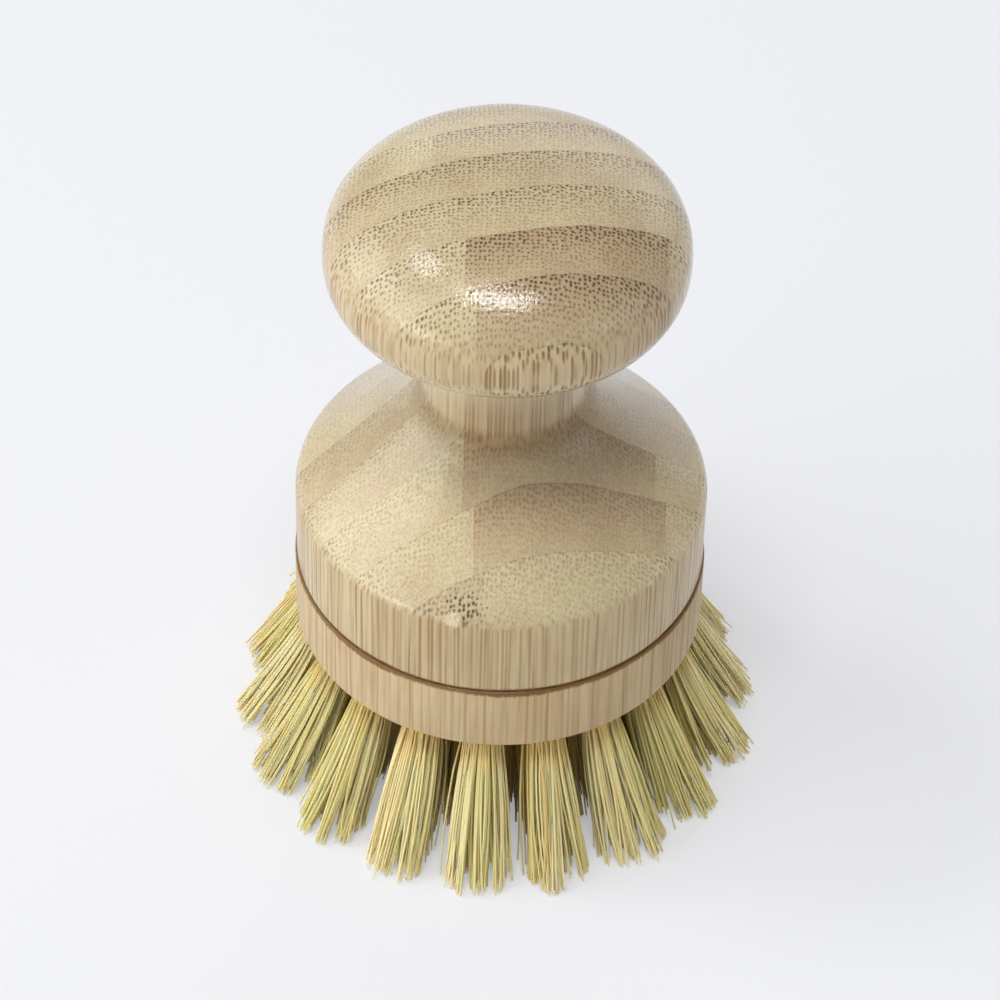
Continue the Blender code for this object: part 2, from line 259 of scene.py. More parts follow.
def strip_pattern(add, place, lie):
    """Lays up the strips. Gives a point's height, place in the grain, tint, and shares of rind and glue."""
    # Fibres drift a few tenths of a millimetre on their way up
    slowly = add(VECTOR_MATH, (place, (1.0, 1.0, 0.2)), "MULTIPLY")
    drift = add(NOISE, {"Vector": slowly, "Scale": DRIFT_SCALE}).outputs["Color"]
    drift = add(VECTOR_MATH, (drift, (0.5, 0.5, 0.5)), "SUBTRACT")
    drift = add(VECTOR_MATH, (drift, DRIFT_MM), "MULTIPLY")
    grain = add(VECTOR_MATH, (place, drift), "ADD")
    parts = add("ShaderNodeSeparateXYZ", {"Vector": grain})
    across, height = parts.outputs["X"], parts.outputs["Z"]

    # Layers: a boundary at every strip's thickness, slanted a little more lower down
    slant = add(MATH, (height, lie["twist"], lie["slant"]), "MULTIPLY_ADD")
    turned = add(
        "ShaderNodeVectorRotate", {"Vector": grain, "Angle": slant}, rotation_type="Z_AXIS", invert=True
    )
    depth = add("ShaderNodeSeparateXYZ", {"Vector": turned}).outputs["Y"]
    first = add(MATH, (height, lie["lean"], lie["first_mm"]), "MULTIPLY_ADD")
    layer = add(MATH, (first, depth), "SUBTRACT")
    layer = add(MATH, (layer, lie["thickness_mm"]), "DIVIDE")
    layer = add(MATH, (layer, lie["layers"] - 0.001), "MINIMUM")
    number = add(MATH, {0: layer}, "FLOOR")
    pith = add(MATH, {0: layer}, "FRACT")

    # Strips side by side in a layer, each layer shifted against the last
    shift = add(MATH, (number, lie["shift"], lie["shift_start"]), "MULTIPLY_ADD")
    strip = add(MATH, (across, lie["width_mm"]), "DIVIDE")
    strip = add(MATH, (strip, add(MATH, {0: shift}, "FRACT")))
    strip_number = add(MATH, {0: strip}, "FLOOR")

    # The middle strips' tint is set for each layer, and the outer ones follow a spread sequence
    middle = add(MAP_RANGE, {"Value": number, "From Min": -LAYERS_EACH_WAY, "From Max": LAYERS_EACH_WAY})
    middle_tint = add("ShaderNodeValToRGB", {"Fac": middle})
    first_stop = LAYERS_EACH_WAY - 0.5
    stops = [((count + first_stop) / (2 * LAYERS_EACH_WAY), grey(share)) for count, share in lie["tints"]]
    set_ramp(middle_tint, stops, "CONSTANT")
    outer_tint = add(MATH, (number, LAYER_TINT_STEP, 0.35), "MULTIPLY_ADD")
    outer_tint = add(MATH, (strip_number, STRIP_TINT_STEP, outer_tint), "MULTIPLY_ADD")
    outer_tint = add(MATH, {0: outer_tint}, "FRACT")
    outer_tint = add(MATH, (outer_tint, 0.4, 0.25), "MULTIPLY_ADD")
    in_middle = add(MATH, (strip_number, 0.0, 0.5), "COMPARE")
    tint = add(MIX, {0: in_middle, 2: outer_tint, 3: middle_tint}, data_type="FLOAT")

    rind = add(MATH, (1.0, pith), "SUBTRACT")
    rind = add(MATH, (rind, RIND_GROWTH), "POWER")
    glue = add(MATH, (pith, lie["thickness_mm"]), "MULTIPLY")
    glue = add(MAP_RANGE, {"Value": glue, "From Min": GLUE_MM[0], "From Max": GLUE_MM[1]})
    return height, grain, tint, rind, glue


def bundles(add, grain, strength, pitch_mm):
    """Fibre bundles as upright rods in a loose lattice: dots in end grain, dashes where a side cuts."""
    scaled = add(VECTOR_MATH, {0: grain, "Scale": 1 / pitch_mm}, "SCALE")
    cells = add(
        "ShaderNodeTexVoronoi",
        {"Vector": scaled, "Scale": 1.0, "Randomness": 0.55},
        voronoi_dimensions="2D",
    )
    own = add("ShaderNodeSeparateColor", {"Color": cells.outputs["Color"]})
    vigour = add(MATH, (own.outputs["Red"], 0.6, 0.7), "MULTIPLY_ADD")
    vigour = add(MATH, (vigour, strength), "MULTIPLY", use_clamp=True)
    size = add(
        MAP_RANGE,
        {"Value": vigour, "To Min": LEAST_BUNDLE_MM / pitch_mm, "To Max": MOST_BUNDLE_MM / pitch_mm},
    )
    outer = add(MATH, (size, 1.35), "MULTIPLY")
    inner = add(MATH, (size, 0.55), "MULTIPLY")
    rod = add(
        MAP_RANGE, {"Value": cells.outputs["Distance"], "From Min": outer, "From Max": inner}, **SMOOTH
    )
    return rod, vigour


def near_height(add, height, level_mm, fade_mm):
    """1 within the second of fade_mm from a height, fading to 0 at the first."""
    away = add(MATH, (height, level_mm), "SUBTRACT")
    away = add(MATH, {0: away}, "ABSOLUTE")
    return add(MAP_RANGE, {"Value": away, "From Min": fade_mm[0], "From Max": fade_mm[1]}, **SMOOTH)


def rough_spot(add, place, centre_mm, reach_mm):
    """1 within about reach_mm of a place, with a ragged edge."""
    ragged = add(NOISE, {"Vector": place, "Scale": 1.3, "Detail": 4.0, "Roughness": 0.8})
    away = add(VECTOR_MATH, (place, centre_mm), "DISTANCE")
    away = add(MATH, (ragged, -3.0 * reach_mm, away), "MULTIPLY_ADD")
    return add(
        MAP_RANGE, {"Value": away, "From Min": -0.4 * reach_mm, "From Max": -0.9 * reach_mm}, **SMOOTH
    )


def bamboo(name, tones, lie):
    """Laminated bamboo, turned and varnished: strips glued side by side, with their fibres upright.

    It is one solid pattern, so the end grain's dark dots on crown and shoulder turn into upright dashes and
    streaks on steep sides. lie holds how the strips lie in the block.
    """
    made, add = new_material(name)
    place = add("ShaderNodeTexCoord").outputs["Object"]
    place = add(VECTOR_MATH, {0: place, "Scale": 1 / MM}, "SCALE")
    height, grain, tint, rind, glue = strip_pattern(add, place, lie)

    # 1 on upright sides, 0 on end grain
    facing = add("ShaderNodeNewGeometry").outputs["Normal"]
    upward = add("ShaderNodeSeparateXYZ", {"Vector": facing}).outputs["Z"]
    upward = add(MATH, {0: upward}, "ABSOLUTE")
    side = add(MAP_RANGE, {"Value": upward, "From Min": END_GRAIN, "From Max": SIDE_GRAIN}, **SMOOTH)

    # Strips differ with the stem's age and steaming, most of all towards the rind
    rind_tone = add("ShaderNodeValToRGB", {"Fac": tint})
    set_ramp(rind_tone, tones["strips"])
    clouds = add(NOISE, {"Vector": grain, "Scale": CLOUD_SCALE, "Detail": 3.0, "Roughness": 0.6})
    clouds = add(MAP_RANGE, {"Value": clouds, "From Min": 0.38, "From Max": 0.66})
    ground = add(MIX, {0: clouds, 6: tones["pith"], 7: tones["cloud"]}, data_type="RGBA")
    spread = add(MATH, (rind, 0.65, 0.30), "MULTIPLY_ADD")
    ground = add(MIX, {0: spread, 6: ground, 7: rind_tone}, data_type="RGBA")
    side_warmth = add(MATH, (side, lie["side_warmth"]), "MULTIPLY")
    ground = add(MIX, {0: side_warmth, 6: ground, 7: tones["side"]}, data_type="RGBA")
    stretched = add(VECTOR_MATH, (grain, GRAIN_SQUASH), "MULTIPLY")
    specks = add(NOISE, {"Vector": stretched, "Scale": SPECK_SCALE, "Roughness": 0.6})
    specks = add(MAP_RANGE, {"Value": specks, "From Min": 0.42, "From Max": 0.64})
    speck_share = add(MATH, (side, -0.09, 0.24), "MULTIPLY_ADD")
    specks = add(MATH, (specks, speck_share), "MULTIPLY")
    ground = add(MIX, {0: specks, 6: ground, 7: tones["dash"]}, data_type="RGBA")

    # Softer tissue between the bundles: fine specks in end grain, long streaks on the sides
    streaks = add(NOISE, {"Vector": stretched, "Scale": STREAK_SCALE})
    streaks = add(MAP_RANGE, {"Value": streaks, "From Min": 0.42, "From Max": 0.66}, **SMOOTH)
    streak_share = add(MATH, (side, tones["streak_share"], 0.12), "MULTIPLY_ADD")
    streak_share = add(MATH, (streaks, streak_share), "MULTIPLY")

    # Round the middle of the neck the wood is paler and less streaked
    calm = near_height(add, height, lie["calm_mm"], NECK_BAND_MM)
    paler = add(MATH, (calm, 0.35), "MULTIPLY")
    calm = add(MATH, (calm, -0.55, 1.0), "MULTIPLY_ADD")
    streak_share = add(MATH, (streak_share, calm), "MULTIPLY")
    glue_share = add(MATH, (glue, 0.22), "MULTIPLY")

    # A rough spot in the rim, where the tool tore the fibres and left pale chips
    scar = rough_spot(add, place, lie["scar_mm"], SCAR_MM)
    chips = rough_spot(add, place, lie["chips_mm"], CHIP_MM)
    chip_share = add(MATH, (chips, 0.6), "MULTIPLY")

    # Bundles are thick and dark at the rind and slight at the pith
    strength = add(MATH, (rind, 0.85, 0.15), "MULTIPLY_ADD")
    age = add(MATH, (tint, 0.55, 0.60), "MULTIPLY_ADD")
    strength = add(MATH, (strength, age), "MULTIPLY")
    below_rim = add(
        MAP_RANGE, {"Value": height, "From Min": lie["rim_mm"], "From Max": lie["rim_mm"] - 1.0}
    )
    wall = add(MATH, (side, below_rim), "MULTIPLY")
    strength = add(MATH, (wall, lie["wall_marks"], strength), "MULTIPLY_ADD")
    strength = add(MATH, (side, 0.12, strength), "MULTIPLY_ADD")
    strength = add(MATH, (strength, scar), "MAXIMUM")
    rods, vigour = bundles(add, grain, strength, lie["pitch_mm"])
    shown = add(MATH, (vigour, lie["contrast"], 0.16), "MULTIPLY_ADD")

    # Varnish fills the pores on the shoulder and the neck, but hardly at the rim and in the rough spot
    share = add(MATH, (height, 1 / PORES_MM), "MULTIPLY")
    pores = add("ShaderNodeValToRGB", {"Fac": share})
    set_ramp(pores, [(height_mm / PORES_MM, grey(open_share)) for height_mm, open_share in lie["open"]])
    at_rim = add(
        MAP_RANGE,
        {"Value": height, "From Min": lie["rim_mm"] + 2.6, "From Max": lie["rim_mm"] + 0.4, "To Max": 0.72},
    )
    pores = add(MATH, (pores, at_rim), "MAXIMUM")
    wall_pores = add(MATH, (wall, 0.75), "MULTIPLY")
    pores = add(MIX, {0: wall, 2: pores, 3: wall_pores}, data_type="FLOAT")
    pores = add(MATH, (pores, scar), "MAXIMUM")
    shown = add(MATH, (shown, pores), "MULTIPLY")
    marks = add(MATH, (rods, shown), "MULTIPLY")
    vessel = add(MIX, {0: side, 6: tones["dot"], 7: tones["dash"]}, data_type="RGBA")

    # The cut edge at the seam is torn a little and stained by glue, more in some places than others
    edge = add(MATH, (height, SEAM_Z / MM), "SUBTRACT")
    edge = add(MATH, {0: edge}, "ABSOLUTE")
    teeth = add(VECTOR_MATH, (place, (1.0, 1.0, 0.25)), "MULTIPLY")
    teeth = add(NOISE, {"Vector": teeth, "Scale": TEAR_SCALE, "Detail": 3.0, "Roughness": 0.7})
    worn = add(NOISE, {"Vector": place, "Scale": WEAR_SCALE})
    fray = lie["fray_mm"]
    worn = add(
        MAP_RANGE,
        {"Value": worn, "From Min": 0.40, "From Max": 0.62, "To Min": -0.5 * fray, "To Max": -fray},
    )
    edge = add(MATH, (teeth, worn, edge), "MULTIPLY_ADD")
    edge = add(
        MAP_RANGE,
        {"Value": edge, "From Min": STAIN_MM[0], "From Max": STAIN_MM[1], "To Max": 0.95},
        **SMOOTH,
    )

    # Painted shade: the corner at the foot of the neck is darkened with the glue's brown, standing in for
    # the shade that the knob casts there
    corner = near_height(add, height, lie["corner_mm"], CORNER_MM)
    corner_shade = add(MATH, (corner, 0.38), "MULTIPLY")

    # What lies over the ground, from below upwards
    over = [(paler, tones["pith"]), (streak_share, tones["streak"]), (glue_share, tones["dot"])]
    over += [(marks, vessel), (chip_share, tones["torn"]), (edge, tones["edge"]), (corner_shade, tones["edge"])]
    for share, shade in over:
        ground = add(MIX, {0: share, 6: ground, 7: shade}, data_type="RGBA")

    # Vessels are open pits under a varnish that lies a little uneven
    level = add(MATH, (marks, edge), "ADD")
    level = add(MATH, (level, -1.0), "MULTIPLY")
    pits = add("ShaderNodeBump", {"Height": level, "Strength": 0.8, "Distance": PIT_DEPTH})
    peel = add(NOISE, {"Vector": stretched, "Scale": PEEL_SCALE, "Roughness": 0.6})
    surface = add("ShaderNodeBump", {"Height": peel, "Distance": WOOD_WAVE, "Normal": pits})
    skin = add("ShaderNodeBump", {"Height": peel, "Distance": VARNISH_WAVE})
    varnish = add(MATH, (wall, -0.6, 1.0), "MULTIPLY_ADD")
    varnish = add(MATH, (corner, -0.8, varnish), "MULTIPLY_ADD")
    varnish = add(MATH, (varnish, lie["varnish"]), "MULTIPLY", use_clamp=True)
    shine = add(MATH, (marks, 0.25, lie["roughness"]), "MULTIPLY_ADD", use_clamp=True)
    shader = add(
        "ShaderNodeBsdfPrincipled",
        {
            "Base Color": ground,
            "Roughness": shine,
            "Specular IOR Level": 0.2,
            "Normal": surface,
            "Coat Weight": varnish,
            "Coat Roughness": 0.08,
            "Coat Normal": skin,
        },
    )
    add("ShaderNodeOutputMaterial", {"Surface": shader})
    return made


def varnished_bamboo(colours):
    """The handle's block: pale strips about 6.5 mm thick, slanted 12 to 17 degrees, with satin varnish."""
    lie = {
        "slant": math.radians(20.2),
        "twist": math.radians(-0.088),
        "lean": -0.042,
        "first_mm": 8.2,
        "thickness_mm": 6.49,
        "width_mm": 24.0,
        "shift": 0.94,
        "shift_start": 0.32,
        "tints": ((-7, 0.5), (-1, 0.6), (0, 0.6), (1, 0.5), (2, 0.9), (3, 0.85), (4, 0.42)),
        "pitch_mm": 0.55,
        "fray_mm": 0.45,
        "layers": 5,
        "contrast": 0.75,
        "side_warmth": 0.45,
        "rim_mm": 42.5,
        "wall_marks": 0.26,
        "scar_mm": (-4.2, -24.2, 43.4),
        "chips_mm": (-5.7, -25.2, 42.3),
        # How open the pores are at each height: less on the shoulder, least on the neck
        "open": (
            *((50.0, 0.42), (57.5, 0.42), (59.3, 0.75), (61.8, 0.75)),
            *((65.6, 0.22), (69.0, 0.22), (72.0, 1.0)),
        ),
        "corner_mm": 58.0,
        "calm_mm": 67.0,
        "varnish": 0.9,
        "roughness": 0.38,
    }
    tones = {
        "strips": (
            (0.0, colours.handle_yellow),
            (0.4, colours.handle_pale),
            (0.65, colours.handle_tan),
            (1.0, colours.handle_red),
        ),
        "pith": colours.handle_pale,
        "cloud": colours.handle_tan,
        "streak": colours.vessel_side,
        "streak_share": 0.18,
        "dot": colours.vessel,
        "dash": colours.vessel_side,
        "edge": colours.glue,
        "torn": colours.torn,
        "side": colours.handle_side,
    }
    return bamboo("varnished_bamboo", tones, lie)


def pinkish_bamboo(colours):
    """The plate's block: pinker strips that lie another way, planed and turned, with less varnish."""
    lie = {
        "slant": math.radians(-24.0),
        "twist": 0.0,
        "lean": 0.0,
        "first_mm": 2.5,
        "thickness_mm": 7.2,
        "width_mm": 22.0,
        "shift": 0.41,
        "shift_start": 0.1,
        "tints": ((-7, 0.4), (-2, 0.6), (-1, 0.3), (0, 0.45), (1, 0.2), (2, 0.5), (3, 0.7), (4, 0.35)),
        "pitch_mm": 0.80,
        "fray_mm": 0.9,
        "layers": 4,
        "contrast": 0.55,
        "side_warmth": 0.0,
        # All of the plate is below the rim, and it has no neck. A rough spot at the origin is deep inside
        "rim_mm": 100.0,
        "wall_marks": 0.30,
        "scar_mm": (0.0, 0.0, 0.0),
        "chips_mm": (0.0, 0.0, 0.0),
        "open": ((0.0, 1.0), (100.0, 1.0)),
        "corner_mm": -100.0,
        "calm_mm": -100.0,
        "varnish": 0.25,
        "roughness": 0.46,
    }
    tones = {
        "strips": (
            (0.0, colours.plate_pale),
            (0.5, colours.plate_tan),
            (1.0, colours.plate_pink),
        ),
        "pith": colours.plate_pale,
        "cloud": colours.plate_tan,
        "streak": colours.plate_streak,
        "streak_share": 0.20,
        "dot": colours.vessel,
        "dash": colours.plate_streak,
        "edge": colours.glue,
        "torn": colours.plate_pale,
        "side": colours.plate_tan,
    }
    return bamboo("pinkish_bamboo", tones, lie)


# These noises' scales are per metre
GLUE_MOTTLE = 900.0
FIBRE_MOTTLE = 420.0
WIRE_MARKS = 2500.0

DARK_GLUE = 0.75
DARK_FIBRE = 0.62
FLOOR_GLOW = 0.38


def dried_glue(colours):
    """Wood glue squeezed into the seam and dried: a dark, uneven line with little shine."""
    made, add = new_material("dried_glue")
    place = add("ShaderNodeTexCoord").outputs["Object"]
    mottle = add(NOISE, {"Vector": place, "Scale": GLUE_MOTTLE, "Detail": 3.0})
    shade = add("ShaderNodeValToRGB", {"Fac": mottle})
    dark = (*[DARK_GLUE * c for c in colours.glue[:3]], 1.0)
    set_ramp(shade, ((0.35, dark), (0.7, colours.glue)))
    bump = add("ShaderNodeBump", {"Height": mottle, "Strength": 0.5, "Distance": 0.05 * MM})
    shader = add("ShaderNodeBsdfPrincipled", {"Base Color": shade, "Roughness": 0.45, "Normal": bump})
    add("ShaderNodeOutputMaterial", {"Surface": shader})
    return made


def plant_fibre(colours):
    """Stiff leaf fibre, combed and cut: each strand has its own tone, from cream to green and straw."""
    made, add = new_material("plant_fibre")
    tone = add("ShaderNodeAttribute", attribute_name="tone").outputs["Fac"]
    along = add("ShaderNodeAttribute", attribute_name="along").outputs["Fac"]
    shade = add("ShaderNodeValToRGB", {"Fac": tone})
    pale, green, straw = colours.fibre_pale, colours.fibre_green, colours.fibre_straw
    dark = (*[DARK_FIBRE * c for c in straw[:3]], 1.0)
    stops = [(0.0, pale), (0.38, pale), (0.55, green), (0.74, green)]
    stops += [(0.84, straw), (0.96, straw), (0.99, dark)]
    set_ramp(shade, stops)
    place = add("ShaderNodeTexCoord").outputs["Object"]
    mottle = add(NOISE, {"Vector": place, "Scale": FIBRE_MOTTLE})
    worn = add(MAP_RANGE, {"Value": mottle, "To Min": 0.0, "To Max": 0.25})
    shade = add(MIX, {0: worn, 6: shade, 7: straw}, data_type="RGBA")
    # Painted shade: fibres are darkened to amber near their roots, and in the inner tufts almost to their
    # tips, standing in for the warm shade deep among the tufts
    inner_shade = add("ShaderNodeAttribute", attribute_name="inner_shade").outputs["Fac"]
    reach = add(MAP_RANGE, {"Value": inner_shade, "To Min": 0.34, "To Max": 1.4})
    root_shade = add(MAP_RANGE, {"Value": along, "From Min": reach, "From Max": 0.0, "To Max": 0.9})
    shade = add(MIX, {0: root_shade, 6: shade, 7: colours.fibre_root_shade}, data_type="RGBA")
    shader = add(
        "ShaderNodeBsdfPrincipled",
        {
            "Base Color": shade,
            "Roughness": 0.5,
            "Subsurface Weight": 0.9,
            "Subsurface Radius": (1.0, 0.8, 0.45),
            "Subsurface Scale": 0.14 * MM,
        },
    )
    add("ShaderNodeOutputMaterial", {"Surface": shader})
    return made


def galvanised_wire(colours):
    """Soft drawn steel wire with a zinc skin: grey metal, a little dull, with fine draw marks."""
    made, add = new_material("galvanised_wire")
    place = add("ShaderNodeTexCoord").outputs["Object"]
    marks = add(NOISE, {"Vector": place, "Scale": WIRE_MARKS, "Detail": 3.0})
    rough = add(MAP_RANGE, {"Value": marks, "To Min": 0.28, "To Max": 0.5})
    bump = add("ShaderNodeBump", {"Height": marks, "Strength": 0.3, "Distance": 0.02 * MM})
    shader = add(
        "ShaderNodeBsdfPrincipled",
        {"Base Color": colours.wire, "Metallic": 1.0, "Roughness": rough, "Normal": bump},
    )
    add("ShaderNodeOutputMaterial", {"Surface": shader})
    return made


def matt_floor(colours):
    """A sheet of matt white board, lit evenly."""
    made, add = new_material("matt_board")
    board = add("ShaderNodeBsdfPrincipled", {"Base Color": colours.floor, "Roughness": 0.9})
    glow = add("ShaderNodeEmission", {"Color": colours.floor, "Strength": 1.0})
    # A part of what is seen is the board's own pale colour, so that the shadow on it stays faint
    path = add("ShaderNodeLightPath")
    seen = add(MATH, (path.outputs["Is Camera Ray"], path.outputs["Is Glossy Ray"]), "MAXIMUM")
    seen = add(MATH, (seen, path.outputs["Is Transmission Ray"]), "MAXIMUM")
    seen = add(MATH, (seen, FLOOR_GLOW), "MULTIPLY")
    shader = add("ShaderNodeMixShader", (seen, board, glow))
    add("ShaderNodeOutputMaterial", {"Surface": shader})
    return made


# Turned shapes

SHARP_ANGLE = math.radians(35)
TURNED_SEGMENTS = 224
HOLE_SEGMENTS = 32
CURVE_STEPS = 40
FILLET_STEPS = 10
EDGE_STEPS = 8
BEVEL_STEPS = 3
PLATE_WEAR = 0.2
FIRST_HOLE_ANGLE = math.radians(-9)
TUFTS_PER_STEP = 6
WIRE_HOLE_RADIUS = 1.26 * MM
CUT_OVERRUN = 1.0 * MM
FEWEST_DRILLED_POINTS = 2000


def turn(bm, outline, segments, centre=(0.0, 0.0)):
    """Turns (radius, height) points, from axis to axis, about an upright line. No point is doubled."""
    rings = []
    for radius, height in outline:
        angles = [math.tau * k / segments for k in range(segments if radius > 0 else 1)]
        flat = [(centre[0] + radius * math.cos(a), centre[1] + radius * math.sin(a)) for a in angles]
        rings.append([bm.verts.new((*point, height)) for point in flat])
    for upper, lower in zip(rings, rings[1:]):
        for k in range(segments):
            corners = [upper[k % len(upper)], lower[k % len(lower)]]
            corners += [lower[(k + 1) % len(lower)], upper[(k + 1) % len(upper)]]
            bm.faces.new(list(dict.fromkeys(corners)))


def rounding(start, corner, end, steps):
    """Points of a soft corner between two outline points."""
    start, corner, end = Vector(start), Vector(corner), Vector(end)
    shares = [step / steps for step in range(steps + 1)]
    return [tuple(start.lerp(corner, share).lerp(corner.lerp(end, share), share)) for share in shares]


def finish_mesh(bm, name, material):
    bmesh.ops.recalc_face_normals(bm, faces=bm.faces)
    mesh = bpy.data.meshes.new(name)
    bm.to_mesh(mesh)
    bm.free()
    mesh.materials.append(material)
    mesh.shade_smooth()
    mesh.set_sharp_from_angle(angle=SHARP_ANGLE)
    piece = bpy.data.objects.new(name, mesh)
    bpy.context.scene.collection.objects.link(piece)
    return piece


def handle_outline(sizes):
    """Knob, neck, cove, rim and skirt, from the crown down to the spigot under the seam."""
    rim = SEAM_Z + sizes.skirt_height
    waist = rim + sizes.shoulder_height
    widest = waist + sizes.neck_length + sizes.knob_underside
    power = 2 / sizes.knob_fullness
    body, neck = sizes.body_radius, sizes.neck_radius
    flare = body - neck

    def underside(radius):
        return widest - sizes.knob_underside * math.sin(math.acos(radius / sizes.knob_radius)) ** power

    def cove_radius(height):
        reach = 1 - (height - rim) / sizes.shoulder_height
        return neck + flare * max(0, reach) ** sizes.cove_hollowness

    points = []
    for step in range(CURVE_STEPS, 0, -1):
        angle = math.pi / 2 * step / CURVE_STEPS
        radius = sizes.knob_radius * math.cos(angle) if step < CURVE_STEPS else 0.0
        points.append((radius, widest + sizes.knob_crown * math.sin(angle) ** power))
    fillet = neck + sizes.knob_fillet
    last = math.acos(fillet / sizes.knob_radius)
    for step in range(CURVE_STEPS):
        radius = sizes.knob_radius * math.cos(last * step / CURVE_STEPS)
        points.append((radius, underside(radius)))
    corner = underside(neck)
    points += rounding(
        (fillet, underside(fillet)), (neck, corner), (neck, corner - sizes.knob_fillet), FILLET_STEPS
    )
    rim_radius = body - sizes.rim_rounding
    share = (rim_radius - neck) / flare
    foot = rim + sizes.shoulder_height * (1 - share ** (1 / sizes.cove_hollowness))
    start = waist - sizes.waist_rounding
    points += rounding(
        (neck, waist + sizes.waist_rounding), (neck, waist), (cove_radius(start), start), FILLET_STEPS
    )
    for step in range(1, CURVE_STEPS):
        height = start + (foot - start) * step / CURVE_STEPS
        points.append((cove_radius(height), height))
    points += rounding((rim_radius, foot), (body, rim), (body, rim - sizes.rim_rounding), EDGE_STEPS)
    bottom = SEAM_Z + FIT_GAP / 2
    spigot = body - sizes.recess_wall - FIT_GAP
    points += rounding(
        (body, bottom + sizes.seam_bevel), (body, bottom), (body - sizes.seam_bevel, bottom), BEVEL_STEPS
    )
    return points + [
        (spigot, bottom), (spigot, bottom - sizes.spigot_height), (0.0, bottom - sizes.spigot_height)
    ]


def hole_places(sizes):
    """(circle, angle) of each tuft hole, from the centre outwards."""
    places = [(0, 0.0)]
    start = FIRST_HOLE_ANGLE
    for circle in range(1, sizes.tuft_circles + 1):
        step = math.tau / (TUFTS_PER_STEP * circle)
        if circle > 1:
            start -= step / 2
        places += [(circle, start + step * index) for index in range(TUFTS_PER_STEP * circle)]
    return places


def hole_pitch(sizes):
    return (sizes.body_radius - sizes.hole_margin - sizes.hole_radius) / sizes.tuft_circles


def plate_outline(sizes):
    radius = sizes.body_radius + sizes.plate_step
    top, bottom = PLATE_HIGH.z, PLATE_LOW.z
    recess = radius - sizes.plate_step - sizes.recess_wall
    bevel, edge = sizes.plate_bevel, sizes.plate_edge
    worn = bevel * PLATE_WEAR
    upper_edge = rounding(
        (radius - bevel, top), (radius - worn, top - worn), (radius, top - bevel), BEVEL_STEPS + 1
    )
    lower_edge = rounding((radius, bottom + edge), (radius, bottom), (radius - edge, bottom), EDGE_STEPS)
    floor = top - sizes.recess_depth
    return [(0.0, floor), (recess, floor), (recess, top), *upper_edge, *lower_edge, (0.0, bottom)]


# Tufts

FIBRE_SEED = 41
FOLD_DROP = 1.9 * MM
FOLD_HALF_WIDTH = 0.3 * MM
ROOT_PLAY = 0.38 * MM
CLUMPS = 9
CLUMP_REACH = 0.98
LEAN_FACTOR = 1.07
GOLDEN_SHARE = 0.618034
STRAY_SHARE = 0.07
FREE_SHARES = (1.0, 0.86, 0.7, 0.52, 0.34, 0.16)
TIP_TAPER = 0.28
ROOT_WIDTH = 0.9
TUBE_SHARP_ANGLE = math.radians(60)
OUTER_SIDES, INNER_SIDES = 5, 4


def tuft_nodes():
    """The names of the tuft solids, in the order of the holes."""
    names = [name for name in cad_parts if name.startswith("tuft_") and name[-1].isdigit()]
    order = ("centre", "inner", "middle", "outer")
    return sorted(names, key=lambda name: (order.index(name.split("_")[1]), name))


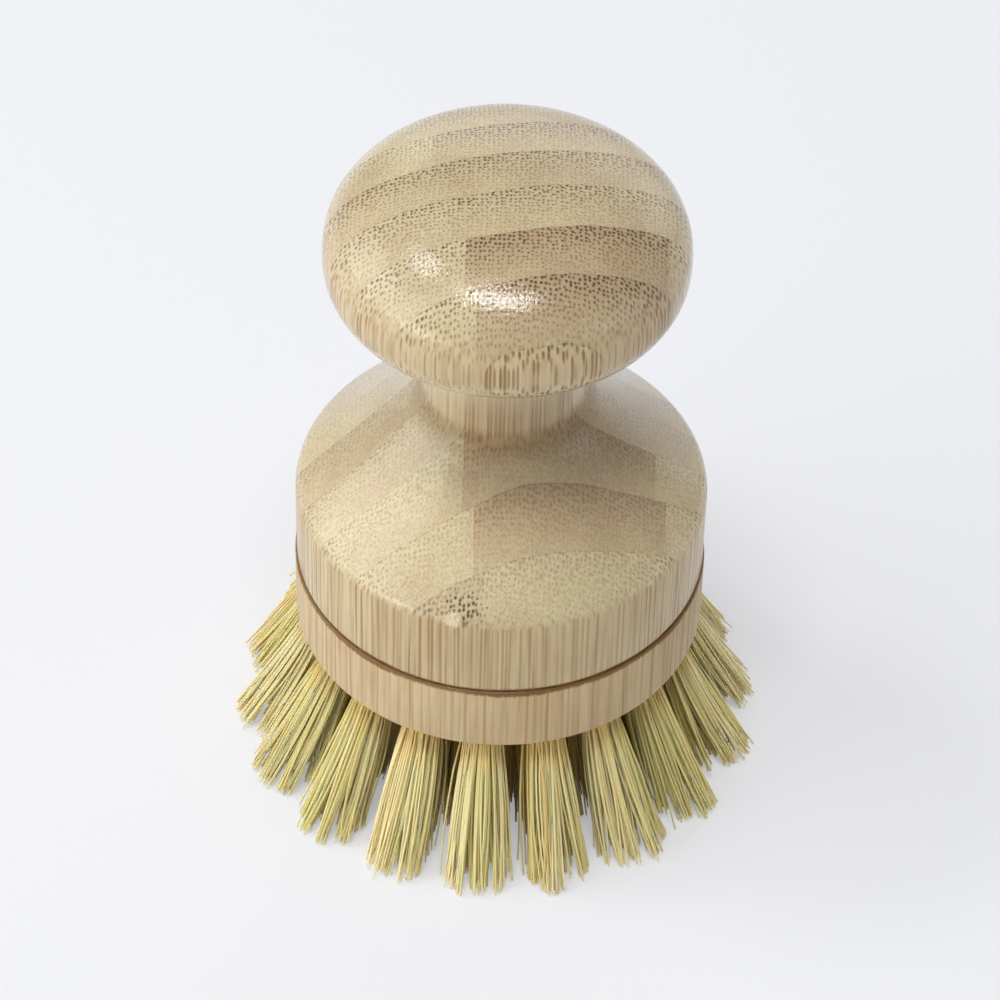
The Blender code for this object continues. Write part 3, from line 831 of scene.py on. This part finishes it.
def fibre_paths(sizes, circle, chance):
    """Each fibre's points from tip through fold to tip, how far along they are, its tone and its radius."""
    pitch = hole_pitch(sizes)
    tip_pitch = (sizes.body_radius + sizes.tuft_flare) / (sizes.tuft_circles + 0.5)
    lean = (tip_pitch - pitch) * circle * LEAN_FACTOR
    half = tip_pitch / 2
    mouth = PLATE_LOW.z
    fold = mouth + sizes.hole_depth - FOLD_DROP
    root_radius = sizes.hole_radius - ROOT_PLAY
    clumps = []
    for _ in range(CLUMPS):
        reach = half * CLUMP_REACH * math.sqrt(chance.random())
        bearing = chance.uniform(0, math.tau)
        place = (reach * math.cos(bearing), reach * math.sin(bearing))
        clumps.append((*place, chance.uniform(0, 1.5 * MM), chance.uniform(0.0, 0.8)))
    paths, along, tones, radii = [], [], [], []
    count = sizes.fibres_per_tuft
    for index in range(count):
        # Roots fill the half circle evenly, with a little play
        ring = math.sqrt((index + 0.5) / count)
        bearing = math.pi * ((index * GOLDEN_SHARE * 2) % 1 - 0.5) * 0.97
        halves = []
        for side in (1, -1):
            reach = root_radius * ring * chance.uniform(0.94, 1.0)
            out = max(FOLD_HALF_WIDTH, reach * math.cos(bearing))
            root = Vector((side * out, reach * math.sin(bearing + chance.uniform(-0.06, 0.06))))
            spread = root * (half * chance.uniform(0.86, 1.12) / root_radius)
            near = min(clumps, key=lambda clump: (clump[0] - spread.x) ** 2 + (clump[1] - spread.y) ** 2)
            pull = chance.uniform(0.15, 0.65)
            tip = Vector((spread.x, spread.y)).lerp(Vector(near[:2]), pull)
            if chance.random() < STRAY_SHARE:
                tip = tip * chance.uniform(1.0, 1.22)
            tip_height = TIPS_Z + max(0.0, near[2] * pull + chance.uniform(-0.3, 1.0) * MM)
            if tip.length > half:
                tip_height += (tip.length - half) * 0.5
            bow = Vector((chance.gauss(0, 0.28), chance.gauss(0, 0.28))) * MM
            line = []
            for share in FREE_SHARES:
                travel = share ** chance.uniform(1.15, 1.3)
                flat = root.lerp(tip, travel) + bow * math.sin(math.pi * share) * 1.3
                flat.x += lean * share**1.12
                height = mouth + (tip_height - mouth) * share
                line.append((flat.x, flat.y, height, share))
            line.append((root.x, root.y, mouth + 0.2 * MM, 0.0))
            line.append((root.x * 0.98, root.y * 0.95, mouth + sizes.hole_depth * 0.45, 0.0))
            top = fold + ring * 0.9 * MM
            line.append((root.x * 0.62, root.y * 0.62, top - 0.5 * MM, 0.0))
            halves.append(line)
        apex = (0.0, halves[0][-1][1], fold + ring * 0.9 * MM, 0.0)
        line = halves[0] + [apex] + halves[1][::-1]
        paths.append([point[:3] for point in line])
        along.append([point[3] for point in line])
        tones.append(min(1.0, max(0.0, near[3] + chance.gauss(0, 0.13))))
        radii.append(sizes.fibre_radius * chance.uniform(0.78, 1.22))
    return np.array(paths), np.array(along), np.array(tones), np.array(radii)


def set_weights(mesh, name, values):
    layer = mesh.attributes.new(name, "FLOAT", "POINT")
    layer.data.foreach_set("value", values.ravel().astype(np.float32))


def tube_mesh(name, paths, along, tones, radii, sides):
    """One mesh with a closed tube for each path, thinner at the tips, with tone and along on each point."""
    count, rings, _ = paths.shape
    ahead = np.gradient(paths, axis=1)
    ahead /= np.linalg.norm(ahead, axis=2, keepdims=True)
    sideways = np.array([0.0, 1.0, 0.0])
    first = sideways - ahead * (ahead @ sideways)[..., None]
    first /= np.linalg.norm(first, axis=2, keepdims=True)
    second = np.cross(ahead, first)
    taper = 1.0 - TIP_TAPER * along**3
    taper[along == 0.0] = ROOT_WIDTH
    angles = math.tau * np.arange(sides) / sides
    cosines, sines = np.cos(angles)[:, None], np.sin(angles)[:, None]
    around = first[:, :, None, :] * cosines + second[:, :, None, :] * sines
    points = paths[:, :, None, :] + around * (radii[:, None] * taper)[:, :, None, None]
    points = points.reshape(-1, 3)

    grid = np.arange(count * rings * sides).reshape(count, rings, sides)
    nxt = np.roll(grid, -1, axis=2)
    walls = np.stack((grid[:, :-1], nxt[:, :-1], nxt[:, 1:], grid[:, 1:]), axis=-1).reshape(-1, 4)
    first_caps = grid[:, 0, ::-1]
    last_caps = grid[:, -1]
    loops = np.concatenate((walls.ravel(), first_caps.ravel(), last_caps.ravel()))
    totals = np.concatenate((np.full(len(walls), 4), np.full(2 * count, sides)))
    starts = np.concatenate(((0,), np.cumsum(totals)[:-1]))

    mesh = bpy.data.meshes.new(name)
    mesh.vertices.add(len(points))
    mesh.vertices.foreach_set("co", points.ravel())
    mesh.loops.add(len(loops))
    mesh.loops.foreach_set("vertex_index", loops)
    mesh.polygons.add(len(totals))
    mesh.polygons.foreach_set("loop_start", starts)
    mesh.update(calc_edges=True)
    mesh.validate()
    set_weights(mesh, "tone", np.repeat(tones, rings * sides))
    set_weights(mesh, "along", np.repeat(along, sides, axis=1))
    mesh.shade_smooth()
    mesh.set_sharp_from_angle(angle=TUBE_SHARP_ANGLE)
    return mesh


def settle(piece, slot, *nodes):
    """Puts a piece on the brush's only body, in place of its solids."""
    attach(piece, BODY)
    if nodes:
        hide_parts(*nodes)


class POTBRUSH_OT_handle(bpy.types.Operator):
    """Turn the handle: knob, neck, cove and skirt in one piece of laminated bamboo"""

    bl_idname = "potbrush.handle"
    bl_label = "Handle"

    def execute(self, context):
        scene = context.scene
        bm = bmesh.new()
        turn(bm, handle_outline(scene.brush_sizes), TURNED_SEGMENTS)
        piece = finish_mesh(bm, "turned_handle", varnished_bamboo(scene.brush_colours))
        settle(piece, "handle_bamboo", "handle")
        return {"FINISHED"}


class POTBRUSH_OT_plate(bpy.types.Operator):
    """Turn the plate and drill its tuft holes"""

    bl_idname = "potbrush.plate"
    bl_label = "Tuft plate"

    def execute(self, context):
        scene = context.scene
        sizes = scene.brush_sizes
        finish = pinkish_bamboo(scene.brush_colours)
        bm = bmesh.new()
        turn(bm, plate_outline(sizes), TURNED_SEGMENTS)
        piece = finish_mesh(bm, "drilled_plate", finish)

        cutter_mesh = bmesh.new()
        floor = PLATE_HIGH.z - sizes.recess_depth
        ceiling = PLATE_LOW.z + sizes.hole_depth
        outline = [
            (0.0, floor + CUT_OVERRUN),
            (WIRE_HOLE_RADIUS, floor + CUT_OVERRUN),
            (WIRE_HOLE_RADIUS, ceiling),
            (sizes.hole_radius, ceiling),
            (sizes.hole_radius, PLATE_LOW.z - CUT_OVERRUN),
            (0.0, PLATE_LOW.z - CUT_OVERRUN),
        ]
        for circle, angle in hole_places(sizes):
            reach = hole_pitch(sizes) * circle
            turn(cutter_mesh, outline, HOLE_SEGMENTS, (reach * math.cos(angle), reach * math.sin(angle)))
        cutter = finish_mesh(cutter_mesh, "drills", finish)
        drilling = piece.modifiers.new("drilled_holes", "BOOLEAN")
        drilling.operation = "DIFFERENCE"
        drilling.solver = "EXACT"
        drilling.object = cutter
        context.view_layer.update()
        cut = bpy.data.meshes.new_from_object(piece.evaluated_get(context.evaluated_depsgraph_get()))
        piece.modifiers.clear()
        piece.data = cut
        cut.set_sharp_from_angle(angle=SHARP_ANGLE)
        bpy.data.objects.remove(cutter, do_unlink=True)
        if len(cut.vertices) < FEWEST_DRILLED_POINTS:
            raise RuntimeError("the plate's holes weren't cut")
        settle(piece, "plate_bamboo", "tuft_plate")
        return {"FINISHED"}


GLUE_SEED = 23
GLUE_SEGMENTS = 360
GLUE_WAVES = 12
GLUE_INNER_GAP = 0.2 * MM
GLUE_OUTER_GAP = 0.22 * MM
GLUE_WAVE = 0.02 * MM


class POTBRUSH_OT_glue_line(bpy.types.Operator):
    """Lay the dried glue that shows as a dark line in the seam"""

    bl_idname = "potbrush.glue_line"
    bl_label = "Glue line"

    def execute(self, context):
        scene = context.scene
        sizes = scene.brush_sizes
        inner = sizes.body_radius - sizes.recess_wall + GLUE_INNER_GAP
        outer = sizes.body_radius - GLUE_OUTER_GAP
        half = FIT_GAP / 2
        chance = random.Random(GLUE_SEED)
        waves = []
        for _ in range(GLUE_WAVES):
            waves.append((chance.randint(9, 70), chance.uniform(0, math.tau), chance.uniform(0.2, 1.0)))
        bm = bmesh.new()
        rings = []
        for radius, height in ((inner, half), (outer, half * 0.98), (outer, -half * 0.98), (inner, -half)):
            ring = []
            for k in range(GLUE_SEGMENTS):
                angle = math.tau * k / GLUE_SEGMENTS
                swell = sum(size * math.sin(rate * angle + phase) for rate, phase, size in waves)
                reach = radius + (swell * GLUE_WAVE if radius == outer else 0.0)
                flat = (reach * math.cos(angle), reach * math.sin(angle))
                ring.append(bm.verts.new((*flat, SEAM_Z + height)))
            rings.append(ring)
        for upper, lower in zip(rings, rings[1:] + rings[:1]):
            for k in range(GLUE_SEGMENTS):
                after = (k + 1) % GLUE_SEGMENTS
                bm.faces.new((upper[k], lower[k], lower[after], upper[after]))
        piece = finish_mesh(bm, "glue_line", dried_glue(scene.brush_colours))
        settle(piece, "plate_bamboo")
        return {"FINISHED"}


class POTBRUSH_OT_wire(bpy.types.Operator):
    """Finish the drawn wire that holds the tufts"""

    bl_idname = "potbrush.wire"
    bl_label = "Tuft wire"

    def execute(self, context):
        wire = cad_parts["tuft_wire"]
        finish = galvanised_wire(context.scene.brush_colours)
        for slot in wire.material_slots:
            slot.material = finish
        return {"FINISHED"}


class POTBRUSH_OT_tufts(bpy.types.Operator):
    """Fold a bundle of plant fibre into each hole and fan it out to the tips"""

    bl_idname = "potbrush.tufts"
    bl_label = "Tufts"

    def execute(self, context):
        scene = context.scene
        sizes = scene.brush_sizes
        places = hole_places(sizes)
        nodes = tuft_nodes()
        if len(nodes) != len(places):
            raise RuntimeError(f"{len(nodes)} tuft solids for {len(places)} holes")
        finish = plant_fibre(scene.brush_colours)
        chance = random.Random(FIBRE_SEED)
        for node, (circle, angle) in zip(nodes, places):
            paths, along, tones, radii = fibre_paths(sizes, circle, chance)
            turned = np.array(Matrix.Rotation(angle, 3, "Z"))
            centre = np.array([math.cos(angle), math.sin(angle), 0.0]) * hole_pitch(sizes) * circle
            sides = OUTER_SIDES if circle == sizes.tuft_circles else INNER_SIDES
            mesh = tube_mesh(f"{node}_fibres", paths, along, tones, radii, sides)
            points = np.empty(len(mesh.vertices) * 3, dtype=np.float32)
            mesh.vertices.foreach_get("co", points)
            points = points.reshape(-1, 3) @ turned.T + centre
            points[:, 2] = np.maximum(points[:, 2], TIPS_Z)
            mesh.vertices.foreach_set("co", points.ravel().astype(np.float32))
            mesh.update()
            # The inner tufts carry the fibres' painted shade almost to their tips
            inner_shade = float(circle < sizes.tuft_circles)
            set_weights(mesh, "inner_shade", np.full(len(mesh.vertices), inner_shade))
            mesh.materials.append(finish)
            piece = bpy.data.objects.new(f"{node}_fibres", mesh)
            scene.collection.objects.link(piece)
            settle(piece, "plant_fibre", node)
        return {"FINISHED"}


# Name, direction from the brush, width, height and watts of each lamp
LAMPS = (
    ("window", (-0.906, -0.03, 0.42), 1.2, 0.9, 6.8),
    ("low_window", (-0.76, -0.63, 0.14), 1.0, 0.32, 1.1),
    ("low_lamp", (-0.76, -0.63, 0.16), 0.34, 0.34, 1.4),
    ("high_window", (-0.34, -0.43, 0.84), 0.7, 0.7, 0.9),
    ("ceiling_lamp", (-0.045, -0.256, 0.966), 0.50, 0.24, 5.9),
    ("second_lamp", (-0.46, 0.14, 0.87), 0.20, 0.12, 1.3),
    ("back_window", (0.25, 0.92, 0.32), 1.8, 0.7, 4.0),
    ("right_wall", (0.95, -0.25, 0.20), 1.2, 0.5, 1.25),
)
LAMP_DISTANCE = 1.2
ROOM_COLOUR = "#EEF0F6"
ROOM_LIGHT = 0.23
FLOOR_HALF = 1.5
FLOOR_GAP = 0.05 * MM

# The photograph's viewing angle
CAMERA_DOWN = math.radians(45.94)
CAMERA_DISTANCE = 572.0 * MM
CAMERA_TURN = math.radians(1.48)
CAMERA_TILT = math.radians(0.533)
SENSOR_MM = 36.0
LENS_MM = 160.8


class POTBRUSH_OT_stage(bpy.types.Operator):
    """Set the floor, the lamps and the camera"""

    bl_idname = "potbrush.stage"
    bl_label = "Stage"

    def execute(self, context):
        scene = context.scene
        bm = bmesh.new()
        bmesh.ops.create_grid(bm, x_segments=8, y_segments=8, size=FLOOR_HALF)
        floor = finish_mesh(bm, "floor", matt_floor(scene.brush_colours))
        floor.location.z = TIPS_Z - FLOOR_GAP

        world = bpy.data.worlds.new("studio")
        scene.world = world
        world.use_nodes = True
        background = world.node_tree.nodes["Background"]
        background.inputs["Color"].default_value = linear(ROOM_COLOUR)
        background.inputs["Strength"].default_value = ROOM_LIGHT

        middle = Vector((0.0, 0.0, SEAM_Z))
        for name, direction, width, height, watts in LAMPS:
            data = bpy.data.lights.new(name, "AREA")
            data.shape = "RECTANGLE"
            data.size = width
            data.size_y = height
            data.energy = watts
            lamp = bpy.data.objects.new(name, data)
            scene.collection.objects.link(lamp)
            lamp.location = middle + Vector(direction).normalized() * LAMP_DISTANCE
            lamp.rotation_euler = (middle - lamp.location).to_track_quat("-Z", "Y").to_euler()

        data = bpy.data.cameras.new("camera")
        data.sensor_width = SENSOR_MM
        data.sensor_fit = "HORIZONTAL"
        data.lens = LENS_MM
        data.clip_start = 0.05
        data.clip_end = 20.0
        camera = bpy.data.objects.new("camera", data)
        scene.collection.objects.link(camera)
        ahead = Vector((0.0, math.cos(CAMERA_DOWN), -math.sin(CAMERA_DOWN)))
        turned = (
            Matrix.Rotation(math.pi / 2 - CAMERA_DOWN, 4, "X")
            @ Matrix.Rotation(CAMERA_TURN, 4, "Z")
            @ Matrix.Rotation(CAMERA_TILT, 4, "X")
        )
        camera.matrix_world = Matrix.Translation(middle - ahead * CAMERA_DISTANCE) @ turned
        scene.camera = camera
        scene.view_settings.view_transform = "Standard"
        return {"FINISHED"}


OPERATORS = (
    POTBRUSH_OT_handle,
    POTBRUSH_OT_plate,
    POTBRUSH_OT_glue_line,
    POTBRUSH_OT_wire,
    POTBRUSH_OT_tufts,
    POTBRUSH_OT_stage,
)


class POTBRUSH_PT_panel(bpy.types.Panel):
    """Sizes, colours and steps of the pot brush"""

    bl_idname = "POTBRUSH_PT_panel"
    bl_label = "Pot brush"
    bl_space_type = "VIEW_3D"
    bl_region_type = "UI"
    bl_category = "Pot brush"

    def draw(self, context):
        layout = self.layout
        for group in (context.scene.brush_sizes, context.scene.brush_colours):
            column = layout.column()
            for name in group.__annotations__:
                column.prop(group, name)
        for operator in OPERATORS:
            layout.operator(operator.bl_idname)


CLASSES = (BrushSizes, BrushColours, *OPERATORS, POTBRUSH_PT_panel)


def register():
    for cls in CLASSES:
        bpy.utils.register_class(cls)
    bpy.types.Scene.brush_sizes = bpy.props.PointerProperty(type=BrushSizes)
    bpy.types.Scene.brush_colours = bpy.props.PointerProperty(type=BrushColours)


def unregister():
    del bpy.types.Scene.brush_colours
    del bpy.types.Scene.brush_sizes
    for cls in reversed(CLASSES):
        bpy.utils.unregister_class(cls)


def main():
    register()
    bpy.ops.potbrush.handle()
    bpy.ops.potbrush.plate()
    bpy.ops.potbrush.glue_line()
    bpy.ops.potbrush.wire()
    bpy.ops.potbrush.tufts()
    bpy.ops.potbrush.stage()


if __name__ == "__main__":
    main()
